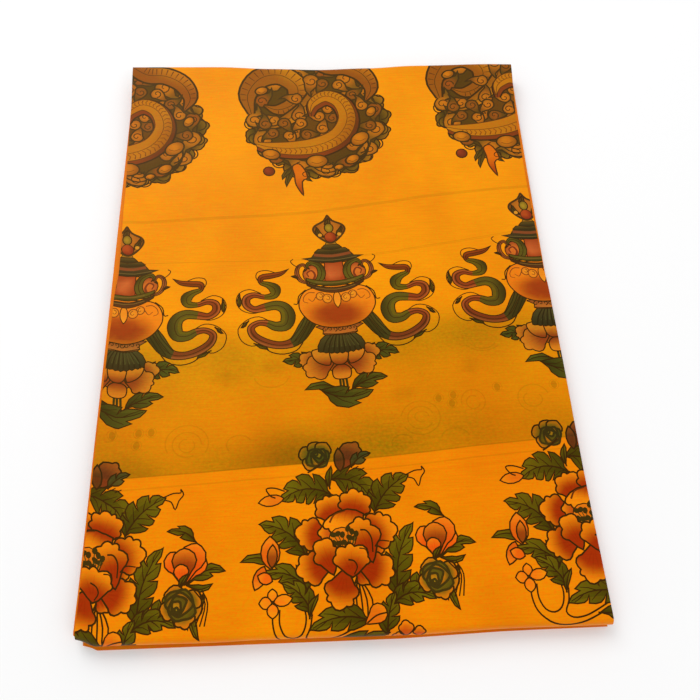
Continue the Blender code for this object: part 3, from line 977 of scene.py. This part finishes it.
def simpler(fills):
    """The fills with fewer points and without lines and tints, for the underside."""
    out = []
    for fill in fills:
        x, y = fill.points.T
        area = np.sum(x * np.roll(y, -1) - np.roll(x, -1) * y) / 2
        around = np.sum(np.hypot(x - np.roll(x, 1), y - np.roll(y, 1)))
        if not fill.tint and 2 * area > 2.6 * around:
            out.append(fill._replace(points=fill.points[:: 1 + len(x) // 14]))
    return out


def whole_print():
    """Every fill on the strip, back to front."""
    fills = ghost_marks()
    motifs = (
        (peony_spray(), PEONIES_AT, 0.0),
        (treasure_vase(), VASES_AT, PRINT_TURN),
        (coil_roundel(), ROUNDELS_AT, PRINT_TURN),
    )
    for motif, places, turn in motifs:
        for x, y in places:
            fills += moved(motif, (x, y), turn)
            fills += moved(simpler(motif), (x, y + UNDER_SHIFT), turn)
    return fills


# The sheet's mesh

# The satin's orange at the near end of the top layer, and from its middle on a lighter, yellower orange that
# is painted light for the brighter light on the far part
GROUND, GROUND_PAINTED_LIGHTER = (240, 149, 1), (243, 163, 1)
REVERSE = (232, 138, 22)
# The painted lighter ground starts at this t and is reached fully after this length
LIGHTER_FROM, LIGHTER_LENGTH = -75, 70
FOLD_STEPS = 10
TOP_PASS = LEGS[4]
# How far the print runs on before the start of the top layer and of the underside, and past
# the end of the top layer
START_MARGIN, END_MARGIN = 12, 9
# Steps of the grid on the top layer and on the others, for each side of the cloth
FRONT_GRID, BACK_GRID = (5.0, 12.0), (10.0, 16.0)
# Round fills wider than this get points inside them too. Columns: share of the way out from
# the middle, and one point for how many of the outline's
WIDE_FILL = 9
INNER_POINTS = ((0.35, 6), (0.68, 4))


def linear(colour):
    """Linear light from a colour given as it looks on a screen, from 0 to 255."""
    c = np.asarray(colour, float) / 255
    return np.where(c <= 0.04045, c / 12.92, ((c + 0.055) / 1.055) ** 2.4)


def cross_lines():
    """The t of every line across the strip that the folds need."""
    at = []
    for leg in LEGS:
        at += list(np.linspace(leg.low, leg.high, FOLD_STEPS if leg.kind == "fold" else 2))
    return np.unique(at)


def is_printed(t):
    """True where the strip's print can be seen: on top, underneath, and round the folds."""
    on_top = TOP_PASS.low - START_MARGIN < t < TOP_PASS.high + END_MARGIN
    return on_top or t > LEGS[-1].low - START_MARGIN


def triangulate(points, segments):
    """A triangulation of points that keeps the segments: (points, triangles)."""
    corners, sides = [Vector(p) for p in points], [tuple(s) for s in segments]
    made = delaunay_2d_cdt(corners, sides, [], 0, 1e-4, False)
    return np.array([tuple(v) for v in made[0]]), np.array(made[2])


def grid_points(fine, coarse):
    """Places over the whole strip, closer together on the top layer and in the folds."""
    out = []
    for leg in LEGS:
        if leg.kind == "fold":
            for t in np.linspace(leg.low, leg.high, FOLD_STEPS):
                count = int(WIDTH / fine)
                out += [(u, t) for u in np.linspace(-WIDTH / 2, WIDTH / 2, count + 1)]
            continue
        step = fine if leg is TOP_PASS else coarse
        count, steps = int(WIDTH / step), int((leg.high - leg.low) / step)
        for t in np.linspace(leg.low, leg.high, steps + 1)[1:-1]:
            out += [(u, t) for u in np.linspace(-WIDTH / 2, WIDTH / 2, count + 1)]
    return out


def inside(outline, places):
    """Which places an outline winds round, counting only turns to the left."""
    x, y = places[:, 0][:, None], places[:, 1][:, None]
    ax, ay = outline[:, 0], outline[:, 1]
    bx, by = np.roll(ax, -1), np.roll(ay, -1)
    left = (bx - ax) * (y - ay) - (x - ax) * (by - ay)
    up, down = (ay <= y) & (by > y) & (left > 0), (ay > y) & (by <= y) & (left < 0)
    return (up.sum(1) - down.sum(1)) > 0


def fill_colours(fill, places):
    """A fill's colours at places in linear light, or for a tint the shares that it leaves."""
    if fill.round:
        across, up = (places - fill.start).T
        away = np.hypot(across, up / fill.round)
        share = (away - fill.reach[0]) / (fill.reach[1] - fill.reach[0])
    else:
        line = np.subtract(fill.reach, fill.start)
        share = (places - fill.start) @ line / (line @ line)
    share = smooth(share)[:, None]
    ends = (fill.first, fill.second) if fill.tint else (linear(fill.first), linear(fill.second))
    return np.multiply(ends[0], 1 - share) + np.multiply(ends[1], share)


def printed_front():
    """The printed side, flat: places and triangles, and the colour of each triangle's corners
    and how much shows through there."""
    half = WIDTH / 2
    fills = [
        f for f in whole_print()
        if f.points[:, 0].min() < half and f.points[:, 0].max() > -half
        and is_printed(f.points[:, 1].mean())
    ]
    points = grid_points(*FRONT_GRID)
    segments = []
    ends = [((-half, t), (half, t)) for t in cross_lines()]
    ends += [((x, START), (x, END)) for x in (-half, half)]
    for pair in ends:
        segments.append((len(points), len(points) + 1))
        points += pair
    for fill in fills:
        low, count = len(points), len(fill.points)
        points += [tuple(p) for p in fill.points]
        segments += [(low + k, low + (k + 1) % count) for k in range(count)]
        wide = np.ptp(fill.points[:, 0]) > WIDE_FILL
        if fill.round and not fill.tint and wide and abs(fill.start[1]) < PASS_LENGTH / 2:
            for share, every in INNER_POINTS:
                points += [tuple(p) for p in fill.start + (fill.points[::every] - fill.start) * share]
    places, triangles = triangulate(points, segments)
    middles = places[triangles].mean(1)
    kept = (np.abs(middles[:, 0]) < half) & (middles[:, 1] > START) & (middles[:, 1] < END)
    triangles, middles = triangles[kept], middles[kept]
    order = np.argsort(middles[:, 1])
    used, triangles = np.unique(triangles[order], return_inverse=True)
    places, triangles, middles = places[used], triangles.reshape(-1, 3), middles[order]
    corners = places[triangles]
    # Painted light: the ground turns to the lighter, yellower orange towards the far end
    beyond = smooth((corners[..., 1:] - LIGHTER_FROM) / LIGHTER_LENGTH)
    colours = linear(GROUND) * (1 - beyond) + linear(GROUND_PAINTED_LIGHTER) * beyond
    for fill in fills:
        low, high = fill.points.min(0), fill.points.max(0)
        near = np.arange(*np.searchsorted(middles[:, 1], (low[1], high[1])))
        near = near[(middles[near, 0] > low[0]) & (middles[near, 0] < high[0])]
        near = near[inside(fill.points, middles[near])]
        if len(near):
            new = fill_colours(fill, corners[near].reshape(-1, 2)).reshape(-1, 3, 3)
            colours[near] = colours[near] * new if fill.tint else new
    on_top = (middles[:, 1] > TOP_PASS.low) & (middles[:, 1] < TOP_PASS.high)
    below = show_through(corners[..., 0], corners[..., 1]) * on_top[:, None]
    return places, triangles, colours, below


def rim_edges(triangles):
    """The edges with a triangle on one side only, each as that triangle runs along it."""
    sides = np.vstack([triangles[:, [0, 1]], triangles[:, [1, 2]], triangles[:, [2, 0]]])
    _, index, count = np.unique(
        np.sort(sides, axis=1), axis=0, return_inverse=True, return_counts=True
    )
    return sides[count[index.reshape(-1)] == 1]


def plain_back(places, rim):
    """The unprinted side, flat, with the same points along its rim as the printed side."""
    on_rim = np.unique(rim)
    row_of = {old: new for new, old in enumerate(on_rim)}
    points = [tuple(p) for p in places[on_rim]]
    segments = [(row_of[a], row_of[b]) for a, b in rim]
    edge_row = {tuple(np.round(p, 3)): k for k, p in enumerate(points)}
    for t in cross_lines():
        ends = [edge_row[tuple(np.round((x, t), 3))] for x in (-WIDTH / 2, WIDTH / 2)]
        segments.append(tuple(ends))
    points += [p for p in grid_points(*BACK_GRID) if abs(p[0]) < WIDTH / 2 - 1]
    back, triangles = triangulate(points, segments)
    near = {tuple(np.round(p, 3)): k for k, p in enumerate(back)}
    mates = {old: near[tuple(np.round(places[old], 3))] for old in on_rim}
    return back, triangles, mates


# Where each stretch of the cloth goes on the flat layout of the OFBake UV map.
# Columns: first leg, last leg, left, bottom, scale, whether it lies on its side
Island = namedtuple("Island", "first last left bottom scale sideways")
FRONT_ISLANDS = [
    Island(3, 5, 0.010, 0.010, 3.00e-3, False),
    Island(9, 10, 0.672, 0.010, 1.48e-3, False),
    Island(0, 2, 0.672, 0.500, 5.2e-4, True),
    Island(6, 8, 0.672, 0.630, 5.2e-4, True),
]
BACK_ISLAND = Island(0, 10, 0.672, 0.760, 1.72e-4, True)
RIM_BOTTOM, RIM_STEP = 0.83, 0.02


def lay_out(corners, middles, islands):
    """The flat layout of triangle corners, on the island that holds each triangle."""
    out = np.zeros_like(corners)
    for island in islands:
        low, high = LEGS[island.first].low, LEGS[island.last].high
        here = (middles[:, 1] > low) & (middles[:, 1] < high)
        across, along = corners[here][..., 0] + WIDTH / 2, corners[here][..., 1] - low
        if island.sideways:
            across, along = along, across
        out[here] = np.stack(
            [island.left + across * island.scale, island.bottom + along * island.scale], -1
        )
    return out


def make_cloth():
    """The whole scarf as one closed sheet: printed side, plain side and the rim between."""
    front, front_faces, colours, below = printed_front()
    rim = rim_edges(front_faces)
    back, back_faces, mates = plain_back(front, rim)
    flat_places = np.vstack([front, back])
    middle = fold_strip(flat_places[:, 0], flat_places[:, 1])
    normals = strip_normals(flat_places[:, 0], flat_places[:, 1])
    side = np.repeat([1.0, -1.0], [len(front), len(back)])[:, None]
    middle[:, 2] -= (SOLID_SHEET - CLOTH) / 2
    vertices = (middle + normals * side * CLOTH / 2) * MM
    offset = len(front)
    under = np.array([[mates[a] + offset, mates[b] + offset] for a, b in rim])
    rim_faces = np.vstack([
        np.stack([rim[:, 1], rim[:, 0], under[:, 0]], -1),
        np.stack([rim[:, 1], under[:, 0], under[:, 1]], -1),
    ])
    faces = np.vstack([front_faces, back_faces[:, ::-1] + offset, rim_faces])

    corner_places = flat_places[faces]
    middles = corner_places.mean(1)
    counts = len(front_faces), len(back_faces), len(rim_faces)
    cut_a, cut_b = counts[0], counts[0] + counts[1]
    layout = np.zeros((len(faces), 3, 2))
    layout[:cut_a] = lay_out(corner_places[:cut_a], middles[:cut_a], FRONT_ISLANDS)
    layout[cut_a:cut_b] = lay_out(corner_places[cut_a:cut_b], middles[cut_a:cut_b], [BACK_ISLAND])
    rim_corners, rim_middles = corner_places[cut_b:], middles[cut_b:]
    along = (rim_corners[..., 1] - START) * BACK_ISLAND.scale
    across = (rim_corners[..., 0] + WIDTH / 2) * BACK_ISLAND.scale
    at_end = (rim_middles[:, 1] < START + 0.01) | (rim_middles[:, 1] > END - 0.01)
    row = np.where(at_end, 2 + (rim_middles[:, 1] > 0), rim_middles[:, 0] > 0)
    layout[cut_b:, :, 0] = BACK_ISLAND.left + np.where(at_end[:, None], across, along)
    lift = (faces[cut_b:] >= offset) * RIM_STEP * 0.4
    layout[cut_b:, :, 1] = RIM_BOTTOM + row[:, None] * RIM_STEP + lift

    corner_normals = (normals * side)[faces]
    outward = np.zeros((counts[2], 3))
    outward[:, 0] = np.where(at_end, 0, np.sign(rim_middles[:, 0]))
    outward[:, 1] = np.where(at_end, -1, 0)
    corner_normals[cut_b:] = outward[:, None]
    shades = np.tile(linear(REVERSE), (len(faces), 3, 1))
    shades[:cut_a] = colours

    mesh = bpy.data.meshes.new("khata_satin")
    mesh.vertices.add(len(vertices))
    mesh.vertices.foreach_set("co", vertices.ravel())
    mesh.loops.add(faces.size)
    mesh.loops.foreach_set("vertex_index", faces.ravel().astype(np.int32))
    mesh.polygons.add(len(faces))
    mesh.polygons.foreach_set("loop_start", np.arange(0, faces.size, 3, dtype=np.int32))
    mesh.update(calc_edges=True)
    mesh.polygons.foreach_set("use_smooth", np.ones(len(faces), bool))
    attribute = mesh.color_attributes.new("Print", "FLOAT_COLOR", "CORNER")
    with_alpha = np.concatenate([shades, np.ones((*shades.shape[:2], 1))], -1)
    attribute.data.foreach_set("color", with_alpha.ravel())
    through_sheet = np.zeros((len(faces), 3))
    through_sheet[:cut_a] = below
    attribute = mesh.attributes.new("Below", "FLOAT", "CORNER")
    attribute.data.foreach_set("value", through_sheet.ravel())
    uv = mesh.uv_layers.new(name="OFBake")
    uv.uv.foreach_set("vector", layout.ravel())
    mesh.normals_split_custom_set(corner_normals.reshape(-1, 3).tolist())
    cloth = bpy.data.objects.new("khata_satin", mesh)
    bpy.context.scene.collection.objects.link(cloth)
    return cloth


# Materials

# What is left of each colour where the layer below shows through fully, in broad patches
# that come and go at random, and in the cloth's redder yarns
BELOW_TINT = (0.38, 0.67, 1.0)
PATCH_TINT = (0.90, 0.76, 0.7)
YARN_TINT = (0.93, 0.62, 0.7)


def set_inputs(node, values):
    """Gives the inputs of a node, by name, their values."""
    for name, value in values.items():
        node.inputs[name].default_value = value


def add_node(tree, kind, **settings):
    """A shader node with its settings and its inputs' values."""
    node = tree.nodes.new(kind)
    set_inputs(node, settings.pop("inputs", {}))
    for name, value in settings.items():
        setattr(node, name, value)
    return node


def noise(tree, coordinates, scale, stretch, detail=3.0):
    """Noise over the cloth, with its grain stretched along an axis."""
    mapping = add_node(tree, "ShaderNodeMapping", inputs={"Scale": stretch})
    tree.links.new(coordinates, mapping.inputs["Vector"])
    grain = add_node(tree, "ShaderNodeTexNoise", inputs={"Scale": scale, "Detail": detail})
    tree.links.new(mapping.outputs["Vector"], grain.inputs["Vector"])
    return grain.outputs["Fac"]


def ranged(tree, value, low, high):
    """A value from 0.3 to 0.7 mapped to a range."""
    node = add_node(
        tree, "ShaderNodeMapRange",
        inputs={"From Min": 0.3, "From Max": 0.7, "To Min": low, "To Max": high},
    )
    tree.links.new(value, node.inputs["Value"])
    return node.outputs["Result"]


def product(tree, first, second, **settings):
    """The product of two values."""
    node = add_node(tree, "ShaderNodeMath", operation="MULTIPLY", **settings)
    tree.links.new(first, node.inputs[0])
    tree.links.new(second, node.inputs[1])
    return node.outputs[0]


def tinted(tree, share, colour, tint):
    """A colour multiplied by a tint, as far as the share says."""
    node = add_node(tree, "ShaderNodeMix", data_type="RGBA", blend_type="MULTIPLY")
    tree.links.new(share, node.inputs[0])
    tree.links.new(colour, node.inputs[6])
    node.inputs[7].default_value = (*tint, 1.0)
    return node.outputs[2]


def satin_material():
    """Printed satin: fine slubs along the weft, a soft mottle in the dye and a low sheen."""
    material = bpy.data.materials.new("printed_satin")
    material.use_nodes = True
    tree = material.node_tree
    shader = tree.nodes["Principled BSDF"]
    place = add_node(tree, "ShaderNodeTexCoord").outputs["Object"]
    print_colour = add_node(tree, "ShaderNodeVertexColor", layer_name="Print").outputs["Color"]
    below = add_node(tree, "ShaderNodeAttribute", attribute_name="Below").outputs["Fac"]
    slubs = noise(tree, place, 110.0, (1.0, 14.0, 1.0))
    grain = noise(tree, place, 900.0, (1.0, 1.6, 1.0), 2.0)
    mottle = noise(tree, place, 45.0, (1.0, 1.4, 1.0), 4.0)
    clouds = noise(tree, place, 14.0, (1.4, 1.0, 1.0), 3.0)

    # The layer below darkens the cloth in specks and patches
    fine = noise(tree, place, 620.0, (1.0, 1.4, 1.0), 2.0)
    specks = product(tree, ranged(tree, fine, 0.8, 1.2), ranged(tree, mottle, 0.88, 1.12))
    amount = product(tree, specks, below, use_clamp=True)
    colour = tinted(tree, amount, print_colour, BELOW_TINT)
    colour = tinted(tree, ranged(tree, clouds, 0.0, 1.0), colour, PATCH_TINT)
    colour = tinted(tree, ranged(tree, grain, 0.0, 1.0), colour, YARN_TINT)

    value = ranged(tree, slubs, 0.95, 1.05)
    for field, low, high in ((grain, 0.91, 1.09), (mottle, 0.96, 1.04)):
        value = product(tree, value, ranged(tree, field, low, high))
    dyed = add_node(tree, "ShaderNodeVectorMath", operation="SCALE")
    tree.links.new(colour, dyed.inputs[0])
    tree.links.new(value, dyed.inputs["Scale"])
    tree.links.new(dyed.outputs[0], shader.inputs["Base Color"])
    tree.links.new(ranged(tree, mottle, 0.42, 0.54), shader.inputs["Roughness"])
    bump = add_node(tree, "ShaderNodeBump", inputs={"Strength": 0.2, "Distance": 0.0002})
    tree.links.new(value, bump.inputs["Height"])
    tree.links.new(bump.outputs["Normal"], shader.inputs["Normal"])
    set_inputs(shader, {
        "Specular IOR Level": 0.25, "Specular Tint": (1.0, 0.5, 0.06, 1.0),
        "Sheen Weight": 0.04, "Sheen Roughness": 0.5, "Sheen Tint": (1.0, 0.5, 0.04, 1.0),
    })
    return material


def make_stage():
    """A plain pale floor, an even sky and two soft lamps."""
    bpy.ops.mesh.primitive_plane_add(size=6.0, location=(0, 0, 0))
    floor = bpy.context.object
    floor.name = "floor"
    material = bpy.data.materials.new("pale_floor")
    material.use_nodes = True
    set_inputs(material.node_tree.nodes["Principled BSDF"], {
        "Base Color": (0.92, 0.92, 0.92, 1.0), "Roughness": 0.8, "Specular IOR Level": 0.1,
    })
    floor.data.materials.append(material)

    scene = bpy.context.scene
    scene.world = bpy.data.worlds.new("even_sky")
    scene.world.use_nodes = True
    sky = scene.world.node_tree.nodes["Background"]
    set_inputs(sky, {"Color": (1.0, 1.0, 1.0, 1.0), "Strength": 0.75})
    # Columns: name, position, size, watts
    for name, position, size, watts in (
        ("key_lamp", (-0.5, 0.9, 1.2), 1.0, 9.5),
        ("fill_lamp", (0.9, -0.9, 1.2), 1.0, 4.0),
    ):
        lamp = bpy.data.lights.new(name, "AREA")
        lamp.size, lamp.energy = size, watts
        holder = bpy.data.objects.new(name, lamp)
        holder.location = position
        holder.rotation_euler = (-Vector(position)).to_track_quat("-Z", "Y").to_euler()
        scene.collection.objects.link(holder)
    scene.view_settings.view_transform = "Standard"


# Camera

LOOK_AT = Vector((6.86, -28.34, 9.0)) * MM
CAMERA_AWAY = 323.4 * MM
ELEVATION, AZIMUTH, ROLL = radians(65.25), radians(-6.7), radians(4.8)
FOCAL_SHARE = 680 / 700


def make_camera():
    """The camera, at the photograph's viewing angle."""
    data = bpy.data.cameras.new("camera")
    camera = bpy.data.objects.new("camera", data)
    back = Vector((
        sin(AZIMUTH) * cos(ELEVATION), -cos(AZIMUTH) * cos(ELEVATION), sin(ELEVATION)
    ))
    right = Vector((0, 0, 1)).cross(back).normalized()
    up = back.cross(right)
    rolled_right = right * cos(ROLL) + up * sin(ROLL)
    rolled_up = up * cos(ROLL) - right * sin(ROLL)
    turned = Matrix((rolled_right, rolled_up, back)).transposed().to_4x4()
    camera.matrix_world = Matrix.Translation(LOOK_AT + back * CAMERA_AWAY) @ turned
    data.sensor_width = 36.0
    data.lens = data.sensor_width * FOCAL_SHARE
    data.clip_start = 0.01
    bpy.context.scene.collection.objects.link(camera)
    bpy.context.scene.camera = camera


# The scene

make_camera()
cloth = make_cloth()
cloth.data.materials.append(satin_material())
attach(cloth, "root")
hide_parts("khata")
make_stage()

bpy.context.view_layer.update()
